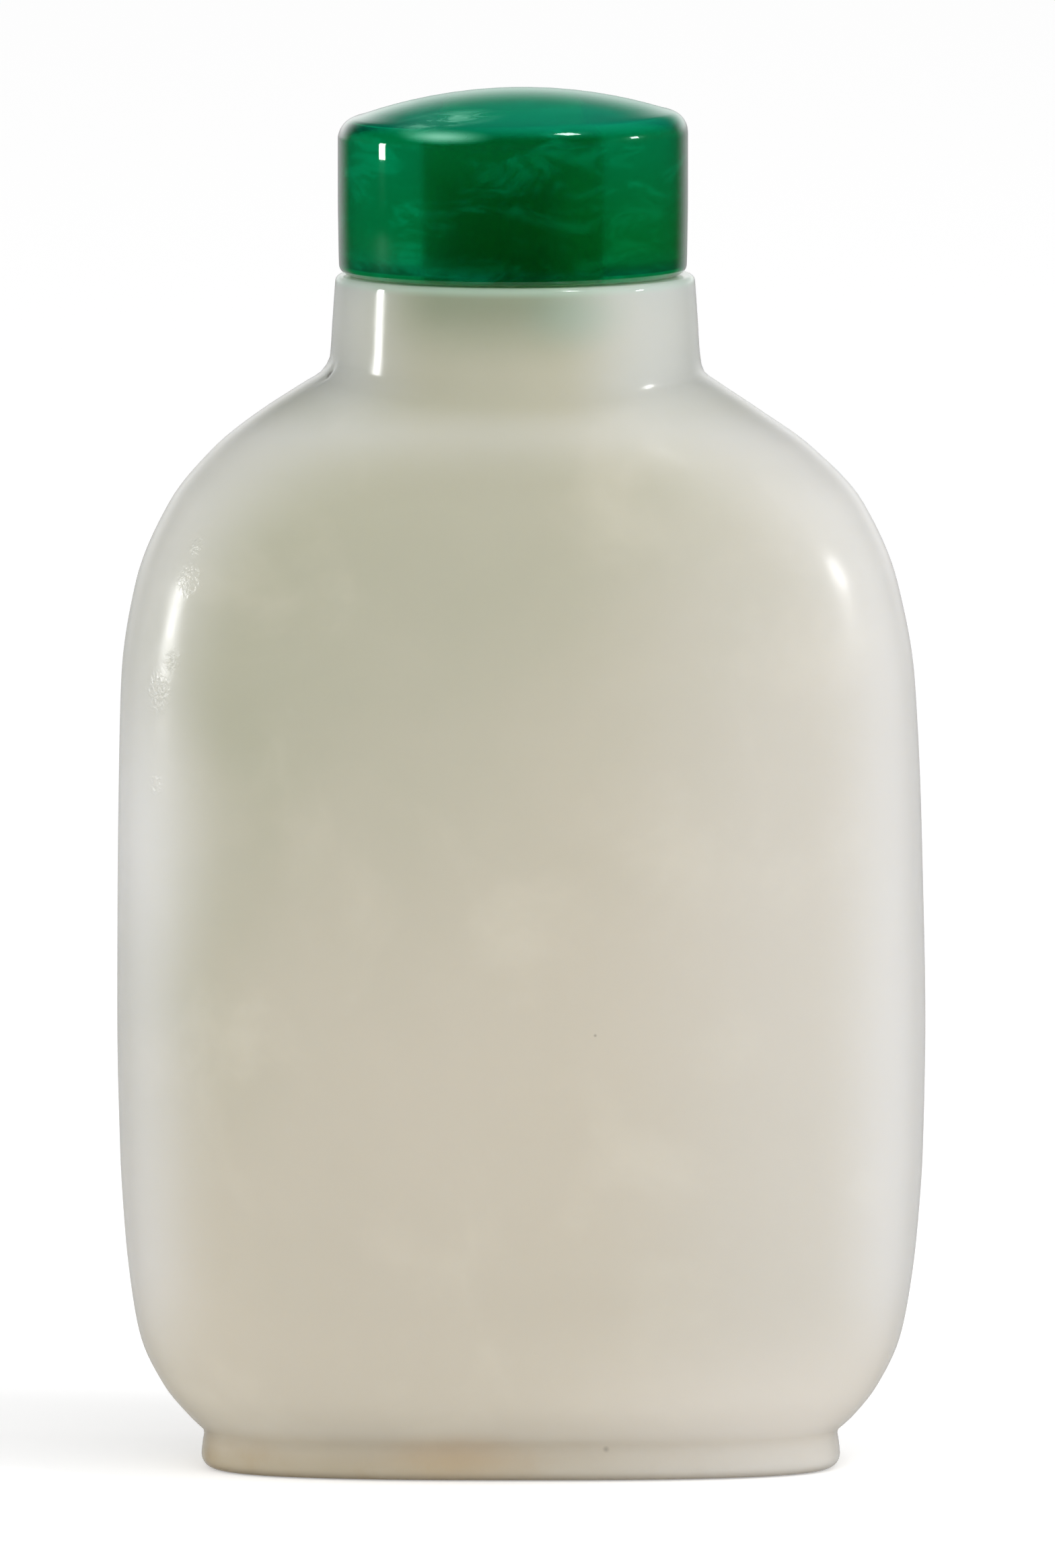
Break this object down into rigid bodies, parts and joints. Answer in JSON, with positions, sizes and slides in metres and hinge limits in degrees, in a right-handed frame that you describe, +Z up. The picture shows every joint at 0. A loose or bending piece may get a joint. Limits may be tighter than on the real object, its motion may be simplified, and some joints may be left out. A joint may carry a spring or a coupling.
{
  "type": "snuff bottle",
  "caption": "Small flattened jade snuff bottle: hollow rounded body, short neck, oval foot, and a domed translucent green stopper with a cork plug.",
  "frame": {"origin": "middle of the oval foot, on the surface the bottle stands on", "axes": "+Z up along the neck, +X to the right across the broad face, +Y to the back; the broad faces look along -Y and +Y"},
  "size_m": [0.0361, 0.0214, 0.0618],
  "materials": {
    "jade": "polished pale celadon to beige nephrite, slightly waxy",
    "green_glass": "polished translucent emerald green with cloudy inclusions",
    "cork": "raw cork"
  },
  "bodies": {
    "root": {"bottle": "jade", "stopper_cap": "green_glass", "stopper_cork": "cork"}
  },
  "joints": []
}
